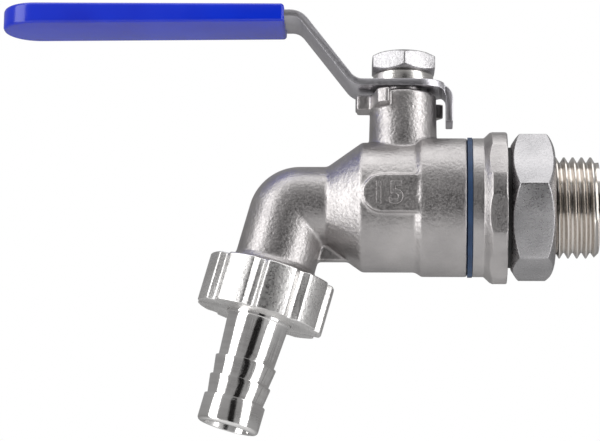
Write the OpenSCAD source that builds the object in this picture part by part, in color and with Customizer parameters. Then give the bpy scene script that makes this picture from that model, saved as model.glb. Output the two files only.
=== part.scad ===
// Bib tap with a quarter-turn ball valve, clamped through a vessel's wall by its inlet nipple.
// The origin is the middle of the nipple's outer end face. +X points out of the inlet, +Z points
// up along the stem, and the open lever lies over the spout, towards -X. Lengths are millimetres.
// Threads that are screwed together both stop at their pitch line. Bare threads stop at their crest.

/* [Waterway] */
// Bore of the body, the ball and the spout
port_d = 12; // [9:0.1:13]
// Wall of the pipe, the elbow and the spout
pipe_wall = 2.45; // [1.8:0.05:4]
// Diameter of the ball
ball_d = 19.6; // [18:0.1:23]
// Space between the ball and its chamber
chamber_gap = 1.2; // [0.6:0.1:3]
// Wall of the ball chamber
body_wall = 2.5; // [1.6:0.1:5]
// Radial width of a seat ring
seat_w = 3; // [2:0.1:3.6]
// Length of a seat ring along the bore
seat_t = 3.5; // [2.4:0.1:4.5]
// Length of a seat ring behind the mouth of the ball's bore
seat_lip = 1.35; // [0.6:0.05:2]
// Clearance between the ball and a seat
seat_gap = 0.1; // [0.05:0.01:0.2]

/* [Body] */
// Straight length of the chamber behind the stem, towards the spout
mid_back = 8.4; // [6:0.1:12]
// Length of the cone between the chamber and the pipe
cone_len = 7.2; // [5:0.1:8]
// Distance from the stem axis to the step up to the front drum
step_x = 2.55; // [1:0.05:6]
// Length of that step
step_len = 1.35; // [0.8:0.05:3]
// Height of that step
step_h = 0.9; // [0.5:0.05:2]
// Straight length of the front drum
front_len = 9.5; // [7:0.1:14]
// Rounding of the large cast edges
cast_r = 1.2; // [0.4:0.1:1.8]
// Rounding of the small cast edges
small_r = 0.4; // [0.2:0.05:0.7]
// Height of the raised size pad on the chamber's side
pad_h = 7.9; // [5:0.1:10]
// How far the pad's face stands out from the chamber
pad_proud = 0.45; // [0.2:0.05:0.8]
// Reach of the pad behind the stem
pad_back = 8; // [5:0.1:8.3]

/* [Elbow and spout] */
// Distance from the stem axis to the spout axis, along the bore
elbow_x = 23.1; // [21:0.1:30]
// Bend radius of the elbow's centre line
elbow_r = 2.4; // [1:0.1:5]
// Bend radius of the bore in the elbow
bore_bend_r = 6.8; // [6.6:0.1:8]
// Lean of the spout away from straight down, in degrees
spout_tilt = 15.3; // [5:0.1:25]
// Distance along the spout axis from the elbow to the outlet's end face
outlet_s = 18.7; // [17:0.1:30]
// Length of the outlet thread
outlet_thread_len = 5.3; // [4:0.1:7]
// How far the web under the pipe hangs below it
web_drop = 3; // [1:0.1:4.5]
// Thickness of that web
web_t = 2.6; // [1.5:0.1:5]

/* [Stem boss] */
// Height of the boss's top above the bore axis
boss_h = 23.8; // [22.5:0.1:30]
// Diameter of the boss at its top
boss_d = 13.8; // [13.4:0.1:20]
// Draft of the boss's side, in degrees
boss_draft = 1.1; // [0:0.1:3]
// Reach of the stop lugs from the stem axis
lug_reach = 10; // [9.4:0.1:11]
// Height of the stop lugs
lug_h = 3.1; // [2:0.1:4]
// Step from the boss's top down to the top of the lugs
lug_drop = 0.3; // [0.1:0.05:1]
// Width of a stop lug at its end
lug_w = 2.5; // [1.5:0.1:3]
// Width of the spare lug that points at the spout
spare_lug_w = 5; // [3:0.1:7]
// Gap between the lever's tab and a stop lug
stop_gap = 0.3; // [0.2:0.05:1]

/* [Stem and gland] */
// Diameter of the stem
stem_d = 8; // [7:0.1:8.6]
// Width across the two flats on the stem's upper end
stem_flat_w = 5.6; // [4.5:0.1:6]
// Diameter of the stem's flange
stem_flange_d = 9.6; // [9.2:0.1:11]
// Thickness of the stem's flange
stem_flange_t = 1.6; // [1:0.1:2]
// Thickness of the tang that turns the ball
tang_t = 4; // [3:0.1:5]
// Width of the tang, across the bore
tang_w = 7.6; // [6:0.1:9]
// Depth of the ball's slot for the tang
slot_depth = 2.4; // [1.8:0.1:2.8]
// Thickness of the thrust washer
thrust_t = 1; // [0.6:0.1:1.4]
// Number of packing rings
packing_rings = 3; // [2:1:4]
// Height of one packing ring
packing_ring_h = 1.15; // [0.8:0.05:1.3]
// Depth of the V in a packing ring
packing_v = 0.5; // [0.2:0.05:0.8]
// Diameter of the gland, at its thread
gland_d = 11.2; // [10.6:0.1:11.6]
// Height of the gland
gland_h = 4.45; // [3.5:0.05:5]
// Depth of the gland's top below the boss's top
gland_recess = 0.45; // [0.1:0.05:1]
// Width of the two spanner slots in the gland
gland_slot_w = 2; // [1.2:0.1:3]
// Depth of those slots
gland_slot_depth = 1.2; // [0.6:0.1:1.8]
// Running clearance of the stem in its bores
stem_clear = 0.05; // [0.02:0.01:0.1]

/* [Lever] */
// Thickness of the lever's strap
strap_t = 1.5; // [1:0.1:3]
// Width of the strap
strap_w = 13.4; // [12:0.1:16]
// Gap between the boss's top and the strap
strap_lift = 0.75; // [0.4:0.05:2]
// Distance from the stem axis to the centre of the strap's round end
strap_end_x = 3.1; // [1:0.1:3.4]
// Distance from the stem axis to the corner where the strap starts to rise
rise_x = 9.8; // [9.4:0.1:14]
// Length over which the strap rises
rise_run = 11.6; // [8:0.1:13]
// Height that the strap rises
rise_h = 14.95; // [10:0.05:22]
// Inner radius of the strap's two bends
bend_r = 3.2; // [2:0.1:4]
// Distance from the stem axis to the stop tab's outer face
tab_reach = 10.4; // [10.2:0.1:13]
// Width of the stop tab
tab_w = 6.8; // [5:0.1:8]
// Sideways shift of the stop tab, away from the closed stop
tab_shift = 1; // [0:0.1:1.6]
// Length of the stop tab, from the strap's top
tab_len = 8.15; // [5:0.05:8.6]
// Inner radius of the tab's bend
tab_bend_r = 1.5; // [1:0.1:2]
// Distance from the stem axis to the start of the grip
grip_x = 24.9; // [24.3:0.1:35]
// Length of the grip
grip_len = 60; // [40:0.1:90]
// Wall of the grip at the strap's edges
grip_side = 0.7; // [0.4:0.05:2]
// Thickness of the grip over and under the strap, at its mouth
grip_skin = 1.2; // [1:0.05:2.5]
// Further thickness of the grip's tip, over and under
grip_swell = 0.35; // [0:0.05:1]
// Wall of the grip beyond the strap's end
grip_end = 1.2; // [0.8:0.1:4]
// Rounding of the grip's edges at its mouth
grip_edge_r = 1.5; // [0.8:0.1:1.8]
// Diameter of the spring washer
lock_washer_d = 12.6; // [11:0.1:15]
// Thickness of the spring washer
lock_washer_t = 2; // [1:0.1:3]
// Width of the spring washer's split
lock_washer_split = 0.8; // [0.4:0.1:2]
// Width across the stem nut's flats
stem_nut_af = 13; // [12:0.1:17]
// Height of the stem nut
stem_nut_h = 4.35; // [3:0.05:8]
// Width of the bevel under the stem nut, inside its flats
stem_nut_bevel = 1; // [0.2:0.1:1.5]
// Angle of the stem nut's bevels, in degrees
nut_bevel_angle = 30; // [15:1:35]
// Turn of the stem nut's corners, in degrees
stem_nut_turn = 33; // [0:1:59]
// Length of stem above the stem nut
stem_end = 0.3; // [0:0.1:3]

/* [Inlet] */
// Crest diameter of the pipe thread on the nipple and the outlet
pipe_thread_d = 20.96; // [20:0.02:21.6]
// Depth of the pipe thread, crest to root
thread_depth = 1.16; // [0.8:0.02:1.3]
// Bore of the inlet nipple
nipple_bore_d = 15; // [13:0.1:16]
// Bare length of the nipple beyond its lock nut
nipple_out = 9; // [6:0.1:30]
// Length of the nipple inside the end cap
nipple_in = 9.5; // [6:0.1:10.5]
// Chamfer on the nipple's ends
nipple_chamfer = 1.1; // [0.4:0.05:1.3]
// Width across the lock nut's flats
lock_nut_af = 27; // [25:0.1:32]
// Thickness of the lock nut
lock_nut_h = 9.1; // [6:0.1:14]
// Diameter of the lock nut's face next to the gasket
lock_nut_back_d = 25.8; // [24:0.1:26.8]
// Depth of the lock nut's chamfer on that side, at its corners
lock_nut_back_depth = 1.8; // [0.8:0.1:2.4]
// Diameter of the lock nut's outer face
lock_nut_front_d = 21.9; // [21.8:0.1:26]
// Depth of the lock nut's domed outer side, at its corners
lock_nut_dome = 2; // [1:0.1:2.6]
// Turn of the lock nut's corners, in degrees
lock_nut_turn = 24; // [0:1:59]
// Diameter of the inlet gasket
gasket_d = 25; // [24:0.1:30]
// Thickness of the inlet gasket
gasket_t = 0.8; // [0.6:0.1:3]

/* [End cap] */
// Width across the flats of the end cap's flange
flange_af = 31; // [30:0.1:36]
// How far the flange's turned corners stand out from the cap's neck
flange_rise = 1.6; // [1.2:0.1:2.4]
// Full-width thickness of the flange
flange_w = 3.1; // [2:0.1:6]
// Length of the chamfer behind the flange
flange_chamfer_w = 1.7; // [1:0.1:2.5]
// Turn of the flange's corners, in degrees
flange_turn = 39.7; // [0:0.1:45]
// Length of the cap's plain neck
neck_w = 2.4; // [1.5:0.1:4]
// Width of the seal ring between the body and the cap
ring_w = 0.95; // [0.5:0.05:2]
// How far the seal ring stands out
ring_proud = 0.15; // [0:0.05:0.4]
// Wall of the front drum outside the cap's thread
joint_wall = 2.6; // [1.8:0.1:3]

/* [Union nut and hose tail] */
// Diameter over the union nut's ribs
union_d = 26.6; // [26:0.1:32]
// Height of the union nut
union_h = 10.2; // [9.4:0.1:14]
// Number of grip ribs round the union nut
rib_count = 9; // [6:1:12]
// Depth of the grooves between the ribs
groove_depth = 1.1; // [0.6:0.05:1.3]
// Width of a groove at the ribs' tops
groove_w = 3.5; // [2.5:0.1:4.5]
// Width of a groove at its root
groove_root_w = 1; // [0.6:0.1:2]
// Turn of the grooves round the nut, in degrees
rib_turn = -4; // [-20:1:20]
// Thickness of the union nut's lip under the tail's flange
union_lip = 2.2; // [1.5:0.1:3]
// Running clearance in the union nut's thread and lip
union_clear = 0.08; // [0.03:0.01:0.1]
// Thickness of the tail's flange
tail_flange_t = 2; // [1.4:0.1:2.4]
// Thickness of the outlet washer
outlet_washer_t = 1.5; // [1:0.1:2]
// Bore of the hose tail
tail_bore_d = 9.8; // [7:0.1:10.2]
// Diameter of the tail's collar and of its first stretch
tail_d = 13.4; // [12.9:0.1:15]
// How far the collar stands out of the nut
collar_out = 0.5; // [0.1:0.05:2]
// Length of the tail's tapered first stretch
stalk_len = 9.1; // [5:0.1:15]
// Largest diameter of the stalk, the barbs and the tip
barb_d = 12.9; // [12:0.1:13.4]
// Smallest diameter of the stalk and the barbs
barb_root_d = 11.75; // [11.2:0.05:12.4]
// Number of barbs between the stalk and the tip
barb_count = 2; // [1:1:5]
// Length of one barb
barb_len = 4.1; // [2.5:0.1:6]
// Length of the tip
tip_len = 5.75; // [4:0.05:8]
// Rounding of the tip's outer edge
tip_r = 0.8; // [0.3:0.05:1]

/* [Hidden] */
$fn = 96;

// Overlap that cutting shapes have past the faces they cut
cut = 1;
// Radial gap between pieces that are screwed or pushed together
fit = 0.02;
// How far a turned envelope passes the corners of the hexagon in it
corner_clear = 0.2;
// Play between flat faces that turn or come apart
face_gap = 0.05;
// Height of the stem's flange above the ball, and of its tang above the slot's floor
ball_lift = 0.35;
// Side clearance of the tang in its slot
slot_clear = 0.1;
// Clearance round the stem's flange and the thrust washer
pocket_clear = 0.25;
// Steps in the arc that rounds a corner, for small and for large radii
small_steps = 4;
round_steps = 10;
hex_sides = 6;
flange_sides = 8;

port_r = port_d / 2;
pipe_r = port_r + pipe_wall;
ball_r = ball_d / 2;
chamber_r = ball_r + chamber_gap;
mid_r = chamber_r + body_wall;
front_r = mid_r + step_h;
joint_r = front_r - joint_wall;
seat_r = port_r + seat_w;
seat_back = sqrt(ball_r * ball_r - port_r * port_r) + seat_lip;
seat_front = seat_back - seat_t;

// Places along the bore, counted from the nipple's end face
nut_out_x = -nipple_out;
nut_in_x = nut_out_x - lock_nut_h;
cap_x = nut_in_x - gasket_t;
nipple_in_x = cap_x - nipple_in;
flange_x = cap_x - flange_w;
neck_x = flange_x - flange_chamfer_w;
ring_x = neck_x - neck_w;
body_x = ring_x - ring_w;
stem_x = body_x - front_len - step_len - step_x;

// The elbow turns from the bore's direction to the spout's direction
elbow_turn = 90 - spout_tilt;
elbow_tangent = elbow_r * tan(elbow_turn / 2);
bore_tangent = bore_bend_r * tan(elbow_turn / 2);

pipe_thread_r = pipe_thread_d / 2;
thread_pitch_r = pipe_thread_r - thread_depth / 2;
thread_root_r = pipe_thread_r - thread_depth;

// Heights above the bore axis, from the ball's slot up to the stem's end
slot_z = ball_r - slot_depth;
stem_flange_z = ball_r + ball_lift;
thrust_z = stem_flange_z + stem_flange_t + face_gap;
roof_z = thrust_z + thrust_t;
gland_top_z = boss_h - gland_recess;
packing_top_z = gland_top_z - gland_h;
packing_z = packing_top_z - packing_v - packing_rings * packing_ring_h;
strap_z = boss_h + strap_lift;
strap_top_z = strap_z + strap_t;
stem_nut_z = strap_top_z + lock_washer_t;
stem_top_z = stem_nut_z + stem_nut_h + stem_end;
lug_top_z = boss_h - lug_drop;

stem_r = stem_d / 2;
gland_r = gland_d / 2;
boss_r = boss_d / 2;
boss_foot_r = boss_r + boss_h * tan(boss_draft);
pocket_r = stem_flange_d / 2 + pocket_clear;

// The strap's rise, seen from the side
rise_angle = atan2(rise_h, rise_run);
upper_z = strap_top_z + rise_h;
upper_x = rise_x + rise_run;
strap_tip_x = grip_x + grip_len - grip_end;
tab_low_y = tab_shift - tab_w / 2;
tab_high_y = tab_shift + tab_w / 2;
// The strap's round end stops here, so that only the tab hangs beside a stop lug
tab_root_x = tab_reach - strap_t - stop_gap;

// Places along the spout axis, counted from the elbow
outlet_thread_s = outlet_s - outlet_thread_len;
tail_flange_s = outlet_s + outlet_washer_t;
tail_lip_s = tail_flange_s + tail_flange_t;
union_bottom_s = tail_lip_s + union_lip;
union_top_s = union_bottom_s - union_h;
stalk_s = union_bottom_s + collar_out;
barb_s = stalk_s + stalk_len;
tip_s = barb_s + barb_count * barb_len;
tail_end_s = tip_s + tip_len;
tail_flange_r = thread_root_r - 0.15;

steel = [0.72, 0.71, 0.7];
bright_steel = [0.86, 0.86, 0.87];
strap_steel = [0.7, 0.69, 0.72];
teflon = [0.93, 0.92, 0.88];
grip_blue = [0.02, 0.13, 0.68];
ring_blue = [0.1, 0.22, 0.45];
rubber_black = [0.08, 0.08, 0.08];

function unit(v) = v / norm(v);

function arc(centre, r, from, turn) =
  let (steps = r < 1 ? small_steps : round_steps)
  [
    for (i = [0:steps])
      let (a = from + turn * i / steps)
      centre + r * [cos(a), sin(a)]
  ];

// The arc that rounds the corner b of an outline that comes from a and goes on to c
function corner_arc(a, b, c, r) =
  let (
    u = unit(a - b),
    v = unit(c - b),
    half = acos(u * v) / 2,
    centre = b + unit(u + v) * r / sin(half),
    p = b + u * r / tan(half) - centre,
    q = b + v * r / tan(half) - centre
  )
  arc(centre, r, atan2(p.y, p.x), atan2(p.x * q.y - p.y * q.x, p * q));

// An outline given as [x, y, corner radius], with its corners rounded
function rounded(outline) = [
  for (i = [0:len(outline) - 1])
    let (
      n = len(outline),
      a = outline[(i + n - 1) % n],
      b = outline[i],
      c = outline[(i + 1) % n]
    )
    each b.z == 0 ? [[b.x, b.y]] : corner_arc([a.x, a.y], [b.x, b.y], [c.x, c.y], b.z)
];

// Puts local +Z along the bore, towards the inlet
module along_bore(x) {
  translate([x, 0, 0])
    rotate([0, 90, 0])
      children();
}

module at_stem() {
  translate([stem_x, 0, 0])
    children();
}

// Puts local +Z along the spout, away from the elbow
module along_spout() {
  translate([stem_x - elbow_x, 0, 0])
    rotate([0, 180 + spout_tilt, 0])
      children();
}

// A solid turned from an outline of [radius, height, corner radius]
module turned(outline) {
  rotate_extrude()
    polygon(rounded(outline));
}

module ring(outer, inner, height) {
  difference() {
    cylinder(r = outer, h = height);
    translate([0, 0, -cut])
      cylinder(r = inner, h = height + 2 * cut);
  }
}

module hexagon(af, height, turn) {
  rotate([0, 0, turn])
    cylinder(d = af / cos(180 / hex_sides), h = height, $fn = hex_sides);
}

// Turns a profile through the elbow's angle, about an axis that is the bend's radius away
module elbow_sweep(bend, tangent) {
  translate([stem_x - elbow_x + tangent, 0, -bend])
    rotate([90, 0, 0])
      rotate([0, 0, 90])
        rotate_extrude(angle = elbow_turn)
          children();
}

// The outer side of the elbow. The inner side is the crease where the two pipes meet.
module elbow_back() {
  elbow_sweep(elbow_r, elbow_tangent)
    intersection() {
      translate([elbow_r, 0])
        circle(r = pipe_r);
      translate([0, -pipe_r])
        square([elbow_r + pipe_r, 2 * pipe_r]);
    }
}

// Outside of the casting along the bore: pipe, cone, chamber and front drum
module body_drum() {
  front_x = step_x + step_len + front_len;
  along_bore(stem_x)
    turned([
      [0, elbow_tangent - elbow_x, 0],
      [pipe_r, elbow_tangent - elbow_x, 0],
      [pipe_r, -mid_back - cone_len, cast_r],
      [mid_r, -mid_back, cast_r],
      [mid_r, step_x, small_r],
      [front_r, step_x + step_len, small_r],
      [front_r, front_x, small_r],
      [0, front_x, 0]
    ]);
}

// Outside of the spout, with its flare and the outlet thread's plain cylinder
module spout() {
  flare = (pipe_thread_r - pipe_r) / 2;
  along_spout()
    turned([
      [0, elbow_tangent, 0],
      [pipe_r, elbow_tangent, 0],
      [pipe_r, outlet_thread_s - flare, small_r],
      [pipe_r + flare, outlet_thread_s, small_r],
      [thread_root_r, outlet_thread_s, 0],
      [pipe_thread_r, outlet_thread_s + thread_depth / 2, 0],
      [pipe_thread_r, outlet_s - thread_depth / 2, 0],
      [thread_root_r, outlet_s, 0],
      [0, outlet_s, 0]
    ]);
}

module boss() {
  at_stem()
    turned([
      [0, 0, 0],
      [boss_foot_r, 0, 0],
      [boss_r, boss_h, small_r],
      [0, boss_h, 0]
    ]);
}

// Where a flank at this distance from the axis meets the circle that the lugs reach
function lug_end(side) = sqrt(lug_reach * lug_reach - side * side);

// The closed stop points away from the pad, the open stop lies behind the tab's rest place
module stop_lugs() {
  closed_flank = tab_low_y - stop_gap;
  open_flank = tab_high_y + stop_gap;
  spare = spare_lug_w / 2;
  at_stem()
    translate([0, 0, lug_top_z - lug_h])
      linear_extrude(lug_h) {
        polygon(rounded([
          [closed_flank, 0, 0],
          [closed_flank, -lug_end(closed_flank), small_r],
          [closed_flank - lug_w, -lug_end(closed_flank - lug_w), small_r],
          [-boss_r, -boss_r / 4, 0],
          [-boss_r, 0, 0]
        ]));
        polygon(rounded([
          [0, open_flank, 0],
          [lug_end(open_flank), open_flank, small_r],
          [lug_end(open_flank + lug_w), open_flank + lug_w, small_r],
          [boss_r / 4, boss_r, 0],
          [0, boss_r, 0]
        ]));
        polygon(rounded([
          [0, spare, 0],
          [-lug_end(spare), spare, small_r],
          [-lug_reach, 0, 0],
          [-lug_end(spare), -spare, small_r],
          [0, -spare, 0]
        ]));
      }
}

// Raised flat field for the size mark, with one round end
module size_pad() {
  face_y = mid_r + pad_proud;
  at_stem()
    rotate([90, 0, 0])
      translate([0, 0, chamber_r])
        linear_extrude(face_y - chamber_r) {
          translate([pad_h / 2 - pad_back, 0])
            circle(d = pad_h);
          translate([pad_h / 2 - pad_back, -pad_h / 2])
            square([pad_back - pad_h / 2 + step_x + step_len / 2, pad_h]);
        }
}

module web() {
  translate([stem_x - elbow_x, -web_t / 2, -pipe_r - web_drop])
    cube([elbow_x - mid_back, web_t, pipe_r + web_drop]);
}

// The hollow of the casting: bore, elbow, ball chamber, seat and thread for the end cap
module body_hollow() {
  mouth_x = body_x + cut - stem_x;
  along_bore(stem_x)
    turned([
      [0, bore_tangent - elbow_x, 0],
      [port_r, bore_tangent - elbow_x, 0],
      [port_r, -seat_back, 0],
      [seat_r + fit, -seat_back, 0],
      [seat_r + fit, -seat_front, 0],
      [chamber_r, -seat_front, 0],
      [chamber_r, seat_front, 0],
      [joint_r + fit, seat_front, 0],
      [joint_r + fit, mouth_x, 0],
      [0, mouth_x, 0]
    ]);
  elbow_sweep(bore_bend_r, bore_tangent)
    translate([bore_bend_r, 0])
      circle(r = port_r);
  along_spout()
    translate([0, 0, bore_tangent])
      cylinder(r = port_r, h = outlet_s + cut - bore_tangent);
}

// The hollow of the boss: flange pocket, stem bore and gland thread
module boss_hollow() {
  at_stem() {
    cylinder(r = pocket_r, h = roof_z);
    cylinder(r = stem_r + stem_clear, h = boss_h + cut);
    translate([0, 0, packing_z])
      cylinder(r = gland_r + fit, h = boss_h + cut - packing_z);
  }
}

module valve_body() {
  color(steel)
    difference() {
      union() {
        body_drum();
        elbow_back();
        spout();
        boss();
        stop_lugs();
        size_pad();
        web();
      }
      body_hollow();
      boss_hollow();
    }
}

// The screwed-in spigot, the neck, and the flange with eight flats
module end_cap() {
  spigot = stem_x + seat_front - body_x + ring_w;
  color(steel)
    difference() {
      union() {
        along_bore(stem_x + seat_front)
          cylinder(r = joint_r, h = ring_x + cut - stem_x - seat_front);
        along_bore(0)
          intersection() {
            turned([
              [0, ring_x, 0],
              [front_r, ring_x, small_r / 2],
              [front_r, neck_x, small_r],
              [front_r + flange_rise, flange_x, small_r],
              [front_r + flange_rise, cap_x, small_r],
              [0, cap_x, 0]
            ]);
            translate([0, 0, ring_x])
              rotate([0, 0, flange_turn])
                cylinder(
                  d = flange_af / cos(180 / flange_sides), h = cap_x - ring_x, $fn = flange_sides
                );
          }
      }
      along_bore(stem_x)
        cylinder(r = port_r, h = nipple_in_x - stem_x + cut);
      along_bore(stem_x)
        cylinder(r = seat_r + fit, h = seat_back);
      along_bore(nipple_in_x - ball_lift)
        cylinder(r = thread_pitch_r + fit, h = nipple_in + ball_lift + cut);
    }
}

module seal_ring() {
  color(ring_blue)
    along_bore(body_x)
      ring(front_r + ring_proud, joint_r + fit, ring_w);
}

// A seat ring, with the ball's curve in its face
module seat() {
  color(teflon)
    rotate_extrude()
      difference() {
        translate([port_r, seat_front])
          square([seat_w, seat_t]);
        circle(r = ball_r + seat_gap);
      }
}

module inlet_seat() {
  along_bore(stem_x)
    seat();
}

module outlet_seat() {
  along_bore(stem_x)
    mirror([0, 0, 1])
      seat();
}

module ball() {
  color(bright_steel)
    at_stem()
      difference() {
        sphere(r = ball_r);
        rotate([0, 90, 0])
          cylinder(r = port_r, h = 2 * ball_d, center = true);
        translate([-tang_t / 2 - slot_clear, -ball_r, slot_z])
          cube([tang_t + 2 * slot_clear, ball_d, slot_depth + cut]);
      }
}

// The tang, the flange, the round shank and the flatted upper end
module stem() {
  color(bright_steel)
    at_stem() {
      intersection() {
        translate([-tang_t / 2, -tang_w / 2, slot_z + ball_lift])
          cube([tang_t, tang_w, slot_depth + stem_flange_t / 2]);
        cylinder(r = stem_flange_d / 2, h = stem_top_z);
      }
      translate([0, 0, stem_flange_z])
        cylinder(d = stem_flange_d, h = stem_flange_t);
      cylinder_between(stem_flange_z, strap_z, stem_r);
      intersection() {
        turned([
          [0, stem_flange_z, 0],
          [stem_r, stem_flange_z, 0],
          [stem_r, stem_top_z, small_r],
          [0, stem_top_z, 0]
        ]);
        flat_slab(stem_flat_w, stem_top_z);
      }
    }
}

module cylinder_between(from_z, to_z, r) {
  translate([0, 0, from_z])
    cylinder(r = r, h = to_z - from_z);
}

// A slab between the two flats, tall enough for the height
module flat_slab(width, height) {
  translate([-stem_d, -width / 2, 0])
    cube([2 * stem_d, width, height + cut]);
}

module thrust_washer() {
  color(teflon)
    at_stem()
      translate([0, 0, thrust_z])
        ring(stem_flange_d / 2, stem_r + stem_clear, thrust_t);
}

// V-shaped rings, nested on the floor of the gland's cup
module stem_packing() {
  inner = stem_r + stem_clear;
  middle = (inner + gland_r) / 2;
  color(teflon)
    at_stem()
      for (i = [0:packing_rings - 1])
        translate([0, 0, packing_z + i * packing_ring_h])
          rotate_extrude()
            polygon([
              [inner, 0],
              [middle, packing_v],
              [gland_r, 0],
              [gland_r, packing_ring_h - fit],
              [middle, packing_ring_h + packing_v - fit],
              [inner, packing_ring_h - fit]
            ]);
}

// Threaded gland that presses on the packing, with two slots for a pin spanner
module gland() {
  color(steel)
    at_stem()
      difference() {
        cylinder_between(packing_top_z, gland_top_z, gland_r);
        cylinder(r = stem_r + stem_clear + fit, h = boss_h);
        translate([-gland_d, -gland_slot_w / 2, gland_top_z - gland_slot_depth])
          cube([2 * gland_d, gland_slot_w, gland_slot_depth + cut]);
      }
}

module inlet_nipple() {
  color(bright_steel)
    along_bore(0)
      difference() {
        turned([
          [0, nipple_in_x, 0],
          [thread_pitch_r - nipple_chamfer / 2, nipple_in_x, 0],
          [thread_pitch_r, nipple_in_x + nipple_chamfer / 2, 0],
          [thread_pitch_r, nut_out_x, 0],
          [pipe_thread_r, nut_out_x, 0],
          [pipe_thread_r, -nipple_chamfer, 0],
          [pipe_thread_r - nipple_chamfer, 0, 0],
          [0, 0, 0]
        ]);
        translate([0, 0, nipple_in_x - cut])
          cylinder(d = nipple_bore_d, h = 2 * cut - nipple_in_x);
      }
}

module inlet_gasket() {
  color(rubber_black)
    along_bore(cap_x)
      ring(gasket_d / 2, thread_pitch_r + fit, gasket_t);
}

// A hexagon with a straight chamfer towards the gasket and a domed outer side
module lock_nut() {
  rim_r = lock_nut_af / 2 / cos(180 / hex_sides) + corner_clear;
  back_r = lock_nut_back_d / 2;
  front_face_r = lock_nut_front_d / 2;
  dome = [
    for (i = [0:round_steps])
      let (share = i / round_steps)
      [rim_r + (front_face_r - rim_r) * share, nut_out_x - lock_nut_dome * pow(1 - share, 2)]
  ];
  color(steel)
    along_bore(0)
      difference() {
        intersection() {
          rotate_extrude()
            polygon(concat(
              [[0, nut_in_x], [back_r, nut_in_x], [rim_r, nut_in_x + lock_nut_back_depth]],
              dome,
              [[0, nut_out_x]]
            ));
          translate([0, 0, nut_in_x])
            hexagon(lock_nut_af, lock_nut_h, lock_nut_turn);
        }
        translate([0, 0, nut_in_x - cut])
          cylinder(r = thread_pitch_r + fit, h = lock_nut_h + 2 * cut);
      }
}

// The strap seen from the side: tab, seat on the stem, rise and grip bar
module strap_side() {
  fold = strap_t * tan(rise_angle / 2);
  tab_z = strap_top_z - tab_len;
  polygon(rounded([
    [tab_reach - strap_t, tab_z, 0],
    [tab_reach, tab_z, 0],
    [tab_reach, strap_top_z, tab_bend_r + strap_t],
    [-rise_x, strap_top_z, bend_r],
    [-upper_x, upper_z, bend_r + strap_t],
    [-strap_tip_x, upper_z, 0],
    [-strap_tip_x, upper_z - strap_t, 0],
    [-upper_x - fold, upper_z - strap_t, bend_r],
    [-rise_x - fold, strap_z, bend_r + strap_t],
    [tab_reach - strap_t, strap_z, tab_bend_r]
  ]));
}

// The strap seen from above, grown by a margin: two round ends, and the tab
module strap_plan(margin) {
  half = strap_w / 2 + margin;
  tip_x = strap_w / 2 - strap_tip_x;
  translate([tip_x, -half])
    square([strap_end_x - tip_x, 2 * half]);
  translate([tip_x, 0])
    circle(r = half);
  intersection() {
    translate([strap_end_x, 0])
      circle(r = half);
    translate([0, -strap_w])
      square([tab_root_x, 2 * strap_w]);
  }
  translate([strap_end_x, tab_low_y])
    square([tab_reach, tab_w]);
}

module lever() {
  color(strap_steel)
    at_stem()
      difference() {
        intersection() {
          linear_extrude(upper_z + cut)
            strap_plan(0);
          rotate([90, 0, 0])
            translate([0, 0, -strap_w / 2])
              linear_extrude(strap_w)
                strap_side();
        }
        intersection() {
          cylinder(r = stem_r + fit, h = strap_top_z + cut);
          flat_slab(stem_flat_w + 2 * fit, strap_top_z);
        }
      }
}

// Dipped sleeve: it swells towards its round tip, and holds the end of the strap
module lever_grip() {
  mouth_half_w = strap_w / 2 + grip_side;
  mouth_half_t = strap_t / 2 + grip_skin;
  tip_half_t = mouth_half_t + grip_swell;
  middle_z = upper_z - strap_t / 2;
  color(grip_blue)
    at_stem()
      difference() {
        hull($fn = 24) {
          translate([mouth_half_w - grip_x - grip_len, 0, middle_z])
            rotate_extrude($fn = 48)
              translate([mouth_half_w - tip_half_t, 0])
                circle(r = tip_half_t);
          for (y = [-1, 1], z = [-1, 1])
            translate([
              -grip_x - grip_edge_r,
              y * (mouth_half_w - grip_edge_r),
              middle_z + z * (mouth_half_t - grip_edge_r)
            ])
              sphere(r = grip_edge_r);
        }
        translate([0, 0, upper_z - strap_t - fit])
          linear_extrude(strap_t + 2 * fit)
            strap_plan(fit);
      }
}

// Spring washer, split on the side away from the size pad
module lock_washer() {
  color(bright_steel)
    at_stem()
      difference() {
        translate([0, 0, strap_top_z])
          ring(lock_washer_d / 2, stem_r + stem_clear, lock_washer_t);
        translate([-lock_washer_split / 2, 0, strap_top_z - cut])
          cube([lock_washer_split, lock_washer_d, lock_washer_t + 2 * cut]);
      }
}

module stem_nut() {
  rim_r = stem_nut_af / 2 / cos(180 / hex_sides) + corner_clear;
  under_r = stem_nut_af / 2 - stem_nut_bevel;
  top_r = stem_nut_af / 2 - stem_nut_bevel / 3;
  slope = tan(nut_bevel_angle);
  color(bright_steel)
    at_stem()
      difference() {
        intersection() {
          translate([0, 0, stem_nut_z])
            hexagon(stem_nut_af, stem_nut_h, stem_nut_turn);
          turned([
            [0, stem_nut_z, 0],
            [under_r, stem_nut_z, 0],
            [rim_r, stem_nut_z + (rim_r - under_r) * slope, 0],
            [rim_r, stem_nut_z + stem_nut_h - (rim_r - top_r) * slope, 0],
            [top_r, stem_nut_z + stem_nut_h, 0],
            [0, stem_nut_z + stem_nut_h, 0]
          ]);
        }
        cylinder(r = stem_r + fit, h = stem_top_z + cut);
      }
}

// Flat washer between the outlet's end face and the tail's flange
module outlet_washer() {
  color(rubber_black)
    along_spout()
      translate([0, 0, outlet_s + face_gap])
        ring(tail_flange_r, port_r, outlet_washer_t - face_gap);
}

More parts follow.
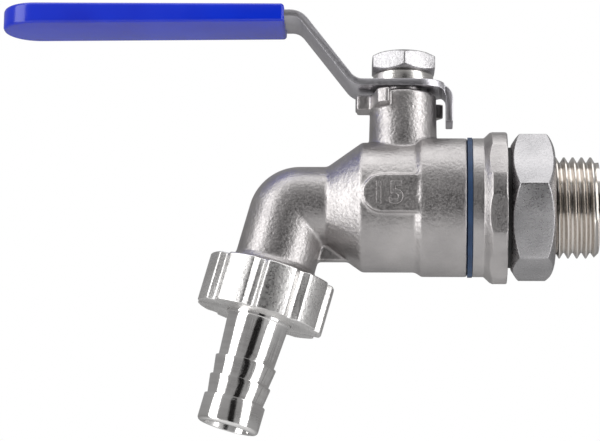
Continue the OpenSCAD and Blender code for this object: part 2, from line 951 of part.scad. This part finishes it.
// Flange, collar, tapered stalk, barbs and round-edged tip
module hose_tail() {
  barbs = [
    for (i = [0:barb_count - 1])
      let (s = barb_s + i * barb_len)
      each [[barb_d / 2, s, 0], [barb_root_d / 2, s + barb_len, 0]]
  ];
  color(bright_steel)
    along_spout()
      difference() {
        turned(concat(
          [
            [0, tail_flange_s, 0],
            [tail_flange_r, tail_flange_s, 0],
            [tail_flange_r, tail_lip_s, 0],
            [tail_d / 2, tail_lip_s, 0],
            [tail_d / 2, stalk_s, 0],
            [barb_d / 2, stalk_s, 0],
            [barb_root_d / 2, barb_s, 0]
          ],
          barbs,
          [
            [barb_d / 2, tip_s, 0],
            [barb_d / 2, tail_end_s, tip_r],
            [0, tail_end_s, 0]
          ]
        ));
        translate([0, 0, tail_flange_s - cut])
          cylinder(d = tail_bore_d, h = tail_end_s - tail_flange_s + 2 * cut);
      }
}

// One grip groove, wide at the ribs' tops and narrow at its root
module grip_groove() {
  root_r = union_d / 2 - groove_depth;
  slope = (groove_w - groove_root_w) / 2 / groove_depth;
  outer_half = groove_root_w / 2 + slope * (groove_depth + cut);
  translate([0, 0, union_top_s - cut])
    linear_extrude(union_h + 2 * cut)
      polygon([
        [root_r, -groove_root_w / 2],
        [root_r + groove_depth + cut, -outer_half],
        [root_r + groove_depth + cut, outer_half],
        [root_r, groove_root_w / 2]
      ]);
}

module union_nut() {
  thread_r = pipe_thread_r + union_clear;
  color(bright_steel)
    along_spout()
      difference() {
        turned([
          [0, union_top_s, 0],
          [union_d / 2, union_top_s, small_r],
          [union_d / 2, union_bottom_s, small_r / 2],
          [0, union_bottom_s, 0]
        ]);
        for (i = [0:rib_count - 1])
          rotate([0, 0, rib_turn + i * 360 / rib_count])
            grip_groove();
        translate([0, 0, union_top_s - cut])
          cylinder(r = thread_r, h = tail_lip_s - union_top_s + cut + face_gap);
        translate([0, 0, union_top_s - fit])
          cylinder(r1 = thread_r + thread_depth / 2, r2 = thread_r, h = thread_depth / 2);
        cylinder(r = tail_d / 2 + union_clear, h = union_bottom_s + cut);
      }
}

valve_body();
end_cap();
seal_ring();
inlet_seat();
outlet_seat();
thrust_washer();
stem_packing();
gland();
inlet_nipple();
inlet_gasket();
lock_nut();
ball();
stem();
lever();
lever_grip();
lock_washer();
stem_nut();
hose_tail();
outlet_washer();
union_nut();
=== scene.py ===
import bpy
import bmesh
import math
from mathutils import Matrix, Vector


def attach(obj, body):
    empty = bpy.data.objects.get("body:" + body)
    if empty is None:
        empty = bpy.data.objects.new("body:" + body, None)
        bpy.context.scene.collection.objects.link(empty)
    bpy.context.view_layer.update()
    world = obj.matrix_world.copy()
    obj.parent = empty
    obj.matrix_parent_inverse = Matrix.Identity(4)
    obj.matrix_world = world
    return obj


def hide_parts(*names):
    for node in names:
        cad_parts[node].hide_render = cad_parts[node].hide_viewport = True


# Bib tap with a ball valve, a union nut and a hose tail. Lengths in the dictionaries are millimetres.

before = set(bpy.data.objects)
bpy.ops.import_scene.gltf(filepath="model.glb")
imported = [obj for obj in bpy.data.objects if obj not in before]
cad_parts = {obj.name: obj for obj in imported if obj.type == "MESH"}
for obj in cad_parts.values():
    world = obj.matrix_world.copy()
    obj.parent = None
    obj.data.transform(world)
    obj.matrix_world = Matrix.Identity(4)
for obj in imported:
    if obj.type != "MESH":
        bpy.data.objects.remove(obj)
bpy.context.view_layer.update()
mm = 0.001
stemX = -40.45
up = Vector((0, 0, 1))

spoutPlace = {"elbowX": -63.55, "tilt": 15.3}
alongBore = Matrix.Rotation(math.radians(90), 4, "Y")
alongSpout = Matrix.Translation((spoutPlace["elbowX"] * mm, 0, 0)) @ Matrix.Rotation(
    math.radians(180 + spoutPlace["tilt"]), 4, "Y")
atStem = Matrix.Translation((stemX * mm, 0, 0))


# camera

cameraValues = {
    "place": (-34.6, -560.7, -127.48),
    "target": (-61.75, 0.0, -2.78),
    "roll": 0.72,
    "lens": 166.0,
}


def addCamera(values):
    place, target = Vector(values["place"]) * mm, Vector(values["target"]) * mm
    data = bpy.data.cameras.new("camera")
    data.lens = values["lens"]
    data.sensor_width = 36
    data.clip_start = 0.01
    camera = bpy.data.objects.new("camera", data)
    bpy.context.scene.collection.objects.link(camera)
    turn = (target - place).to_track_quat("-Z", "Y").to_matrix().to_4x4()
    roll = Matrix.Rotation(math.radians(values["roll"]), 4, "Z")
    camera.matrix_world = Matrix.Translation(place) @ turn @ roll
    bpy.context.scene.camera = camera


addCamera(cameraValues)
print("camera placed")


# light, floor and backdrop

lightValues = {
    "world": 0.42,
    "left": {"place": (-520, -260, 60), "size": (320, 900), "power": 2.7},
    "right": {"place": (420, -280, 60), "size": (300, 900), "power": 2.5},
    "top": {"place": (-60, -60, 560), "size": (700, 500), "power": 1.6},
}


def addLamp(name, values, target):
    data = bpy.data.lights.new(name, "AREA")
    data.shape = "RECTANGLE"
    data.size, data.size_y = values["size"][0] * mm, values["size"][1] * mm
    data.energy = values["power"]
    lamp = bpy.data.objects.new(name, data)
    bpy.context.scene.collection.objects.link(lamp)
    place = Vector(values["place"]) * mm
    lamp.matrix_world = Matrix.Translation(place) @ (target - place).to_track_quat("-Z", "Y").to_matrix().to_4x4()


def addWorld(strength):
    world = bpy.data.worlds.new("world")
    bpy.context.scene.world = world
    world.use_nodes = True
    nodes, links = world.node_tree.nodes, world.node_tree.links
    nodes.clear()
    output = nodes.new("ShaderNodeOutputWorld")
    lit, seen = nodes.new("ShaderNodeBackground"), nodes.new("ShaderNodeBackground")
    mix, path = nodes.new("ShaderNodeMixShader"), nodes.new("ShaderNodeLightPath")
    coord, split = nodes.new("ShaderNodeTexCoord"), nodes.new("ShaderNodeSeparateXYZ")
    ramp = nodes.new("ShaderNodeValToRGB")
    ramp.color_ramp.elements[0].position = 0.0
    ramp.color_ramp.elements[0].color = (0.30, 0.28, 0.27, 1)
    ramp.color_ramp.elements[1].position = 1.0
    ramp.color_ramp.elements[1].color = (1.0, 1.0, 1.0, 1)
    middle = ramp.color_ramp.elements.new(0.45)
    middle.color = (0.62, 0.61, 0.61, 1)
    toRange = nodes.new("ShaderNodeMapRange")
    toRange.inputs["From Min"].default_value = -1
    links.new(coord.outputs["Generated"], split.inputs[0])
    links.new(split.outputs["Z"], toRange.inputs["Value"])
    links.new(toRange.outputs[0], ramp.inputs[0])
    links.new(ramp.outputs[0], lit.inputs["Color"])
    lit.inputs["Strength"].default_value = strength
    seen.inputs["Color"].default_value = (1, 1, 1, 1)
    links.new(path.outputs["Is Camera Ray"], mix.inputs[0])
    links.new(lit.outputs[0], mix.inputs[1])
    links.new(seen.outputs[0], mix.inputs[2])
    links.new(mix.outputs[0], output.inputs[0])


floorValues = {"height": -320, "size": 6000, "colour": (0.86, 0.86, 0.86, 1)}


def addFloor(values):
    bm = bmesh.new()
    bmesh.ops.create_grid(bm, x_segments=1, y_segments=1, size=values["size"] / 2 * mm)
    bmesh.ops.translate(bm, verts=bm.verts, vec=(0, 0, values["height"] * mm))
    mesh = bpy.data.meshes.new("floor")
    bm.to_mesh(mesh)
    bm.free()
    floor = bpy.data.objects.new("floor", mesh)
    bpy.context.scene.collection.objects.link(floor)
    material = bpy.data.materials.new("floorPaint")
    material.use_nodes = True
    shader = material.node_tree.nodes["Principled BSDF"]
    shader.inputs["Base Color"].default_value = values["colour"]
    shader.inputs["Roughness"].default_value = 0.9
    mesh.materials.append(material)


# a dark card beside the camera. It gives polished and turned steel their black stripe
cardValues = {"x": (-95, 170), "y": -640, "z": (-420, 300), "colour": (0.015, 0.014, 0.014, 1)}


def addCard(values):
    bm = bmesh.new()
    (left, right), (low, high) = values["x"], values["z"]
    corners = ((left, low), (right, low), (right, high), (left, high))
    bm.faces.new([bm.verts.new((x * mm, values["y"] * mm, z * mm)) for x, z in corners])
    mesh = bpy.data.meshes.new("darkCard")
    bm.to_mesh(mesh)
    bm.free()
    card = bpy.data.objects.new("darkCard", mesh)
    bpy.context.scene.collection.objects.link(card)
    card.visible_camera = False
    card.visible_shadow = False
    material = bpy.data.materials.new("cardPaint")
    material.use_nodes = True
    shader = material.node_tree.nodes["Principled BSDF"]
    shader.inputs["Base Color"].default_value = values["colour"]
    shader.inputs["Roughness"].default_value = 0.9
    shader.inputs["Specular IOR Level"].default_value = 0.1
    mesh.materials.append(material)


addWorld(lightValues["world"])
addCard(cardValues)
for side in ("left", "right", "top"):
    addLamp(side + "Softbox", lightValues[side], Vector((-55, 0, 0)) * mm)
addFloor(floorValues)
bpy.context.scene.view_settings.view_transform = "Standard"
print("light and floor placed")


# shader groups

def makeGroup(name, inputs, outputs):
    group = bpy.data.node_groups.new(name, "ShaderNodeTree")
    for label, kind, value in inputs:
        socket = group.interface.new_socket(label, in_out="INPUT", socket_type=kind)
        if value is not None:
            socket.default_value = value
    for label, kind in outputs:
        group.interface.new_socket(label, in_out="OUTPUT", socket_type=kind)
    return group, group.nodes.new("NodeGroupInput"), group.nodes.new("NodeGroupOutput")


def mathNode(tree, operation, first, second):
    node = tree.nodes.new("ShaderNodeMath")
    node.operation = operation
    for index, value in enumerate((first, second)):
        if isinstance(value, (int, float)):
            node.inputs[index].default_value = value
        else:
            tree.links.new(value, node.inputs[index])
    return node.outputs[0]


def noiseNode(tree, vector, scale, detail, roughness=0.5):
    node = tree.nodes.new("ShaderNodeTexNoise")
    node.inputs["Detail"].default_value = detail
    node.inputs["Roughness"].default_value = roughness
    tree.links.new(vector, node.inputs["Vector"])
    if isinstance(scale, (int, float)):
        node.inputs["Scale"].default_value = scale
    else:
        tree.links.new(scale, node.inputs["Scale"])
    return node.outputs[0]


def rangeNode(tree, value, low, high, toLow, toHigh):
    node = tree.nodes.new("ShaderNodeMapRange")
    tree.links.new(value, node.inputs["Value"])
    for label, number in (("From Min", low), ("From Max", high), ("To Min", toLow), ("To Max", toHigh)):
        node.inputs[label].default_value = number
    return node.outputs[0]


def castSkinGroup():
    # orange peel, small pits and cloudy patches of an investment casting after tumbling
    group, given, result = makeGroup("castSkin", [("Vector", "NodeSocketVector", None), ("Grain", "NodeSocketFloat", 1.0)],
                                     [("Height", "NodeSocketFloat"), ("Patch", "NodeSocketFloat"), ("Speck", "NodeSocketFloat")])
    vector = given.outputs["Vector"]
    peel = noiseNode(group, vector, mathNode(group, "MULTIPLY", given.outputs["Grain"], 1500), 3, 0.55)
    swell = noiseNode(group, vector, 260, 2)
    pits = group.nodes.new("ShaderNodeTexVoronoi")
    pits.inputs["Scale"].default_value = 420
    group.links.new(vector, pits.inputs["Vector"])
    pit = rangeNode(group, pits.outputs["Distance"], 0.0, 0.16, -1.0, 0.0)
    height = mathNode(group, "ADD", peel, mathNode(group, "MULTIPLY", swell, 1.2))
    height = mathNode(group, "ADD", height, mathNode(group, "MULTIPLY", pit, 0.35))
    group.links.new(height, result.inputs["Height"])
    group.links.new(noiseNode(group, vector, 90, 3), result.inputs["Patch"])
    group.links.new(noiseNode(group, vector, 2600, 2), result.inputs["Speck"])
    return group


def turnedMarksGroup():
    # fine rings left by a lathe tool. The vector's Z runs along the turning axis
    group, given, result = makeGroup("turnedMarks", [("Vector", "NodeSocketVector", None), ("Rings", "NodeSocketFloat", 6000.0)],
                                     [("Height", "NodeSocketFloat"), ("Streak", "NodeSocketFloat")])
    split = group.nodes.new("ShaderNodeSeparateXYZ")
    group.links.new(given.outputs["Vector"], split.inputs[0])
    radius = mathNode(group, "SQRT", mathNode(group, "ADD", mathNode(group, "MULTIPLY", split.outputs[0], split.outputs[0]),
                                              mathNode(group, "MULTIPLY", split.outputs[1], split.outputs[1])), 0.0)
    place = mathNode(group, "ADD", split.outputs[2], radius)
    joined = group.nodes.new("ShaderNodeCombineXYZ")
    group.links.new(place, joined.inputs[2])
    group.links.new(noiseNode(group, joined.outputs[0], given.outputs["Rings"], 3, 0.6), result.inputs["Height"])
    group.links.new(noiseNode(group, joined.outputs[0], 900, 2), result.inputs["Streak"])
    return group


castSkin = castSkinGroup()
turnedMarks = turnedMarksGroup()


# finishes

finishValues = {
    "castSteel": {"dark": (0.36, 0.345, 0.345), "light": (0.52, 0.50, 0.495), "rough": (0.30, 0.46), "bump": 0.10, "grain": 1.0},
    "capSteel": {"dark": (0.36, 0.345, 0.345), "light": (0.52, 0.50, 0.495), "rough": (0.28, 0.42), "bump": 0.06, "grain": 1.4},
    "nutSteel": {"dark": (0.34, 0.335, 0.345), "light": (0.50, 0.49, 0.50), "rough": (0.24, 0.40), "bump": 0.05, "grain": 2.0},
    "unionSteel": {"dark": (0.60, 0.59, 0.58), "light": (0.80, 0.79, 0.78), "rough": (0.26, 0.40), "bump": 0.06, "grain": 1.3},
    "strapSteel": {"dark": (0.46, 0.45, 0.48), "light": (0.62, 0.61, 0.64), "rough": (0.28, 0.38), "bump": 0.03, "grain": 2.4},
}
turnedValues = {
    "threadSteel": {"dark": (0.62, 0.58, 0.54), "light": (0.80, 0.77, 0.74), "rough": (0.12, 0.22), "bump": 0.02, "rings": 5000.0},
    "barbSteel": {"dark": (0.74, 0.73, 0.72), "light": (0.86, 0.85, 0.84), "rough": (0.07, 0.14), "bump": 0.012, "rings": 7000.0},
    "stemSteel": {"dark": (0.64, 0.62, 0.60), "light": (0.78, 0.76, 0.74), "rough": (0.18, 0.3), "bump": 0.03, "rings": 6000.0},
}


def newMaterial(name, metallic=0.0, roughness=0.5):
    material = bpy.data.materials.new(name)
    material.use_nodes = True
    tree = material.node_tree
    shader = tree.nodes["Principled BSDF"]
    shader.inputs["Metallic"].default_value = metallic
    shader.inputs["Roughness"].default_value = roughness
    coord = tree.nodes.new("ShaderNodeTexCoord")
    return material, tree, shader, coord.outputs["Object"]


def placeGroup(tree, group, vector):
    node = tree.nodes.new("ShaderNodeGroup")
    node.node_tree = group
    tree.links.new(vector, node.inputs["Vector"])
    return node


def colourRange(tree, shader, value, dark, light):
    ramp = tree.nodes.new("ShaderNodeValToRGB")
    ramp.color_ramp.elements[0].position, ramp.color_ramp.elements[1].position = 0.3, 0.7
    ramp.color_ramp.elements[0].color, ramp.color_ramp.elements[1].color = (*dark, 1), (*light, 1)
    tree.links.new(value, ramp.inputs[0])
    tree.links.new(ramp.outputs[0], shader.inputs["Base Color"])


def addBump(tree, shader, height, distance, strength=1.0):
    bump = tree.nodes.new("ShaderNodeBump")
    bump.inputs["Distance"].default_value = distance
    bump.inputs["Strength"].default_value = strength
    tree.links.new(height, bump.inputs["Height"])
    tree.links.new(bump.outputs[0], shader.inputs["Normal"])


def castMaterial(name, values):
    material, tree, shader, vector = newMaterial(name, 1.0)
    skin = placeGroup(tree, castSkin, vector)
    skin.inputs["Grain"].default_value = values["grain"]
    colourRange(tree, shader, skin.outputs["Patch"], values["dark"], values["light"])
    tree.links.new(rangeNode(tree, skin.outputs["Speck"], 0.35, 0.65, *values["rough"]), shader.inputs["Roughness"])
    addBump(tree, shader, skin.outputs["Height"], values["bump"] * mm)
    return material


def turnedMaterial(name, values, axis=None):
    material, tree, shader, vector = newMaterial(name, 1.0)
    if axis is not None:
        mapping = tree.nodes.new("ShaderNodeMapping")
        place = axis.inverted()
        mapping.inputs["Location"].default_value = place.to_translation()
        mapping.inputs["Rotation"].default_value = place.to_euler()
        tree.links.new(vector, mapping.inputs["Vector"])
        vector = mapping.outputs[0]
    marks = placeGroup(tree, turnedMarks, vector)
    marks.inputs["Rings"].default_value = values["rings"]
    colourRange(tree, shader, marks.outputs["Streak"], values["dark"], values["light"])
    tree.links.new(rangeNode(tree, marks.outputs["Height"], 0.3, 0.7, *values["rough"]), shader.inputs["Roughness"])
    addBump(tree, shader, marks.outputs["Height"], values["bump"] * mm)
    return material


def vinylMaterial():
    material, tree, shader, vector = newMaterial("blueVinyl", 0.0, 0.22)
    shader.inputs["Coat Weight"].default_value = 0.2
    shader.inputs["Coat Roughness"].default_value = 0.12
    cloud = noiseNode(tree, vector, 60, 2)
    colourRange(tree, shader, cloud, (0.001, 0.016, 0.46), (0.002, 0.028, 0.58))
    addBump(tree, shader, noiseNode(tree, vector, 140, 2), 0.12 * mm)
    return material


def plainMaterial(name, dark, light, rough, bump):
    material, tree, shader, vector = newMaterial(name, 0.0, rough)
    colourRange(tree, shader, noiseNode(tree, vector, 400, 3), dark, light)
    addBump(tree, shader, noiseNode(tree, vector, 2400, 2), bump * mm)
    return material


paints = {name: castMaterial(name, values) for name, values in finishValues.items()}
paints["threadSteel"] = turnedMaterial("threadSteel", turnedValues["threadSteel"], alongBore)
paints["barbSteel"] = turnedMaterial("barbSteel", turnedValues["barbSteel"], alongSpout)
paints["stemSteel"] = turnedMaterial("stemSteel", turnedValues["stemSteel"], atStem)
paints["blueVinyl"] = vinylMaterial()
paints["ringBlue"] = plainMaterial("ringBlue", (0.006, 0.025, 0.07), (0.012, 0.045, 0.12), 0.5, 0.02)
paints["ptfe"] = plainMaterial("ptfe", (0.80, 0.79, 0.75), (0.88, 0.87, 0.84), 0.5, 0.01)
paints["blackRubber"] = plainMaterial("blackRubber", (0.008, 0.008, 0.008), (0.02, 0.02, 0.02), 0.6, 0.03)
print("materials made")


# pieces

def finishPiece(name, bm, body, paint, replaced=(), angle=32):
    mesh = bpy.data.meshes.new(name)
    bm.to_mesh(mesh)
    bm.free()
    mesh.materials.append(paints[paint])
    mesh.polygons.foreach_set("use_smooth", [True] * len(mesh.polygons))
    mesh.set_sharp_from_angle(angle=math.radians(angle))
    piece = bpy.data.objects.new(name, mesh)
    bpy.context.scene.collection.objects.link(piece)
    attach(piece, body)
    if replaced:
        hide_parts(*replaced)
    return piece


def nodeCopy(node):
    bm = bmesh.new()
    bm.from_mesh(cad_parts[node].data)
    bmesh.ops.remove_doubles(bm, verts=bm.verts, dist=0.001 * mm)
    bmesh.ops.dissolve_limit(bm, angle_limit=math.radians(0.5), verts=bm.verts, edges=bm.edges)
    return bm


def softenEdges(bm, width, angle=28, segments=2, keep=lambda edge: True):
    sharp = [e for e in bm.edges if len(e.link_faces) == 2 and e.calc_face_angle(0) > math.radians(angle) and keep(e)]
    bmesh.ops.bevel(bm, geom=sharp, offset=width * mm, offset_type="OFFSET", segments=segments, profile=0.5,
                    affect="EDGES", clamp_overlap=False, material=-1)
    bmesh.ops.remove_doubles(bm, verts=bm.verts, dist=0.002 * mm)


roundedCopies = {
    "endCap": {"node": "end_cap", "body": "valve", "slot": "cast_steel", "paint": "capSteel", "edge": 0.14},
    "lockNut": {"node": "lock_nut", "body": "valve", "slot": "nut_steel", "paint": "nutSteel", "edge": 0.16},
    "lever": {"node": "lever", "body": "handle", "slot": "strap_steel", "paint": "strapSteel", "edge": 0.2},
    "lockWasher": {"node": "lock_washer", "body": "handle", "slot": "turned_steel", "paint": "stemSteel", "edge": 0.16},
    "stemNut": {"node": "stem_nut", "body": "handle", "slot": "nut_steel", "paint": "nutSteel", "edge": 0.14},
    "stem": {"node": "stem", "body": "handle", "slot": "turned_steel", "paint": "stemSteel", "edge": 0.12},
    "hoseTail": {"node": "hose_tail", "body": "tail", "slot": "polished_steel", "paint": "barbSteel", "edge": 0.12},
    "unionNut": {"node": "union_nut", "body": "union", "slot": "cast_steel", "paint": "unionSteel", "edge": 0.22},
}
for pieceName, values in roundedCopies.items():
    copied = nodeCopy(values["node"])
    softenEdges(copied, values["edge"])
    finishPiece(pieceName, copied, values["body"], values["paint"], [values["node"]])
print("rounded copies made")


# valve body: the casting with its corners run together

castingValues = {"voxel": 0.3, "relax": 3}


def addCasting(values):
    bm = nodeCopy("valve_body")
    mesh = bpy.data.meshes.new("castingStart")
    bm.to_mesh(mesh)
    bm.free()
    start = bpy.data.objects.new("castingStart", mesh)
    bpy.context.scene.collection.objects.link(start)
    remesh = start.modifiers.new("remesh", "REMESH")
    remesh.mode = "VOXEL"
    remesh.voxel_size = values["voxel"] * mm
    bpy.context.view_layer.update()
    made = start.evaluated_get(bpy.context.evaluated_depsgraph_get()).to_mesh()
    bm = bmesh.new()
    bm.from_mesh(made)
    bpy.data.objects.remove(start)
    for _ in range(values["relax"]):
        bmesh.ops.smooth_vert(bm, verts=bm.verts, factor=0.5, use_axis_x=True, use_axis_y=True, use_axis_z=True)
    print("casting has", len(bm.faces), "faces")
    return finishPiece("valveBody", bm, "valve", "castSteel", ["valve_body"], 60)


addCasting(castingValues)


# inlet nipple: a turned core with a helical thread on its bare end

nippleValues = {"rootRadius": 9.34, "crestRadius": 10.48, "pitch": 1.814, "bareLength": 9.0, "length": 28.4,
                "bore": 7.5, "innerRadius": 9.9, "chamfer": 1.1, "crestShare": 0.14, "steps": 96}


def spinOutline(outline, steps=96):
    # outline is (radius, height) round local Z, closed
    bm = bmesh.new()
    verts = [bm.verts.new((r * mm, 0, h * mm)) for r, h in outline]
    edges = [bm.edges.new((verts[i], verts[(i + 1) % len(verts)])) for i in range(len(verts))]
    bmesh.ops.spin(bm, geom=verts + edges, cent=(0, 0, 0), axis=up, dvec=(0, 0, 0), angle=2 * math.pi,
                   steps=steps, use_merge=True)
    bmesh.ops.recalc_face_normals(bm, faces=bm.faces)
    return bm


def helixRidge(values, start, end):
    # one V ridge that winds from start to end round local Z
    pitch, root, crest = values["pitch"], values["rootRadius"], values["crestRadius"]
    flat = pitch * values["crestShare"] / 2
    bm = bmesh.new()
    shape = [(root - 0.3, 0.06), (root, 0.10), (crest, pitch / 2 - flat), (crest, pitch / 2 + flat),
             (root, pitch - 0.10), (root - 0.3, pitch - 0.06)]
    verts = [bm.verts.new((r * mm, 0, (start + h) * mm)) for r, h in shape]
    face = bm.faces.new(verts)
    turns = (end - start) / pitch - 1
    steps = int(values["steps"] * turns)
    bmesh.ops.spin(bm, geom=[face] + list(face.edges) + verts, cent=(0, 0, 0), axis=up,
                   dvec=(0, 0, (end - start - pitch) * mm / steps), angle=2 * math.pi * turns, steps=steps,
                   use_duplicate=False)
    bmesh.ops.recalc_face_normals(bm, faces=bm.faces)
    return bm


def joinInto(bm, other):
    mesh = bpy.data.meshes.new("part")
    other.to_mesh(mesh)
    other.free()
    bm.from_mesh(mesh)
    bpy.data.meshes.remove(mesh)


def addNipple(values):
    root, inner, bare = values["rootRadius"], values["innerRadius"], values["bareLength"]
    bm = spinOutline([
        (values["bore"], -values["length"]), (inner - 0.5, -values["length"]), (inner, -values["length"] + 0.5),
        (inner, -bare - 0.4), (root, -bare), (root, -0.05), (root - 0.1, 0), (values["bore"] + 0.4, 0),
        (values["bore"], -0.4)])
    ridge = helixRidge(values, -bare - values["pitch"], 0.0 + values["pitch"] * 0.6)
    bmesh.ops.bisect_plane(ridge, geom=ridge.verts[:] + ridge.edges[:] + ridge.faces[:], dist=1e-7,
                           plane_co=(0, 0, -0.02 * mm), plane_no=(0, 0, 1), clear_outer=True)
    bmesh.ops.holes_fill(ridge, edges=[e for e in ridge.edges if len(e.link_faces) == 1])
    for vert in ridge.verts:
        limit = (values["crestRadius"] - max(0.0, values["chamfer"] + vert.co.z / mm)) * mm
        radius = math.hypot(vert.co.x, vert.co.y)
        if radius > limit:
            vert.co.x *= limit / radius
            vert.co.y *= limit / radius
    joinInto(bm, ridge)
    bm.transform(alongBore)
    return finishPiece("inletNipple", bm, "valve", "threadSteel", ["inlet_nipple"], 40)


addNipple(nippleValues)
print("nipple made")


# grip: a dipped vinyl sleeve

gripValues = {"start": -65.35, "length": 59.8, "halfWidth": 7.4, "middle": 40.25, "halfThick": (1.95, 2.3), "edge": 1.45}


def addGrip(values):
    length, half = values["length"], values["halfWidth"]
    bm = bmesh.new()
    bmesh.ops.create_cube(bm, size=1.0)
    bmesh.ops.scale(bm, vec=(length * mm, 2 * half * mm, 2 * values["halfThick"][0] * mm), verts=bm.verts)
    bmesh.ops.translate(bm, vec=((values["start"] - length / 2) * mm, 0, values["middle"] * mm), verts=bm.verts)
    tipX = (values["start"] - length) * mm
    tipEdges = [e for e in bm.edges if all(abs(v.co.x - tipX) < 1e-6 for v in e.verts)
                and abs(e.verts[0].co.z - e.verts[1].co.z) > 1e-6]
    bmesh.ops.bevel(bm, geom=tipEdges, offset=(half - 0.02) * mm, offset_type="OFFSET", segments=14, profile=0.5,
                    affect="EDGES", clamp_overlap=True, material=-1)
    rim = [e for e in bm.edges if e.calc_face_angle(0) > math.radians(60)]
    bmesh.ops.bevel(bm, geom=rim, offset=values["edge"] * mm, offset_type="OFFSET", segments=6, profile=0.5,
                    affect="EDGES", clamp_overlap=True, material=-1)
    low, high = values["halfThick"]
    for vert in bm.verts:
        share = (values["start"] * mm - vert.co.x) / (length * mm)
        middle = values["middle"] * mm
        vert.co.z = middle + (vert.co.z - middle) * (1 + (high / low - 1) * max(0.0, share))
    return finishPiece("leverGrip", bm, "handle", "blueVinyl", ["lever_grip"], 60)


addGrip(gripValues)
print("grip made")


# size mark: plain raised figures on the pad

markValues = {"text": "15", "height": 4.4, "face": -13.95, "centre": (-42.95, 0.0), "rise": 0.3, "spacing": 1.15}


def addSizeMark(values):
    curve = bpy.data.curves.new("sizeMark", "FONT")
    curve.body = values["text"]
    curve.align_x = "CENTER"
    curve.align_y = "CENTER"
    curve.space_character = values["spacing"]
    curve.size = values["height"] / 0.7 * mm
    curve.extrude = values["rise"] / 2 * mm
    curve.bevel_depth = 0.1 * mm
    curve.bevel_resolution = 2
    curve.offset = 0.12 * mm
    writing = bpy.data.objects.new("sizeMarkText", curve)
    bpy.context.scene.collection.objects.link(writing)
    bpy.context.view_layer.update()
    mesh = writing.evaluated_get(bpy.context.evaluated_depsgraph_get()).to_mesh()
    bm = bmesh.new()
    bm.from_mesh(mesh)
    bpy.data.objects.remove(writing)
    bmesh.ops.remove_doubles(bm, verts=bm.verts, dist=0.001 * mm)
    low = [min(v.co[i] for v in bm.verts) for i in (0, 1)]
    high = [max(v.co[i] for v in bm.verts) for i in (0, 1)]
    bmesh.ops.translate(bm, vec=(-(low[0] + high[0]) / 2, -(low[1] + high[1]) / 2, 0), verts=bm.verts)
    bm.transform(Matrix.Rotation(math.radians(90), 4, "X"))
    centre = Vector((values["centre"][0], values["face"], values["centre"][1])) * mm
    bmesh.ops.translate(bm, vec=centre, verts=bm.verts)
    return finishPiece("sizeMark", bm, "valve", "castSteel", (), 40)


addSizeMark(markValues)


# what stays as the CAD gives it

plainNodes = {
    "seal_ring": "ringBlue", "inlet_seat": "ptfe", "outlet_seat": "ptfe", "thrust_washer": "ptfe",
    "stem_packing": "ptfe", "gland": "stemSteel", "inlet_gasket": "blackRubber", "outlet_washer": "blackRubber",
    "ball": "stemSteel",
}
for node, paint in plainNodes.items():
    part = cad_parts[node]
    part.data.materials.clear()
    part.data.materials.append(paints[paint])
print("plain nodes painted")
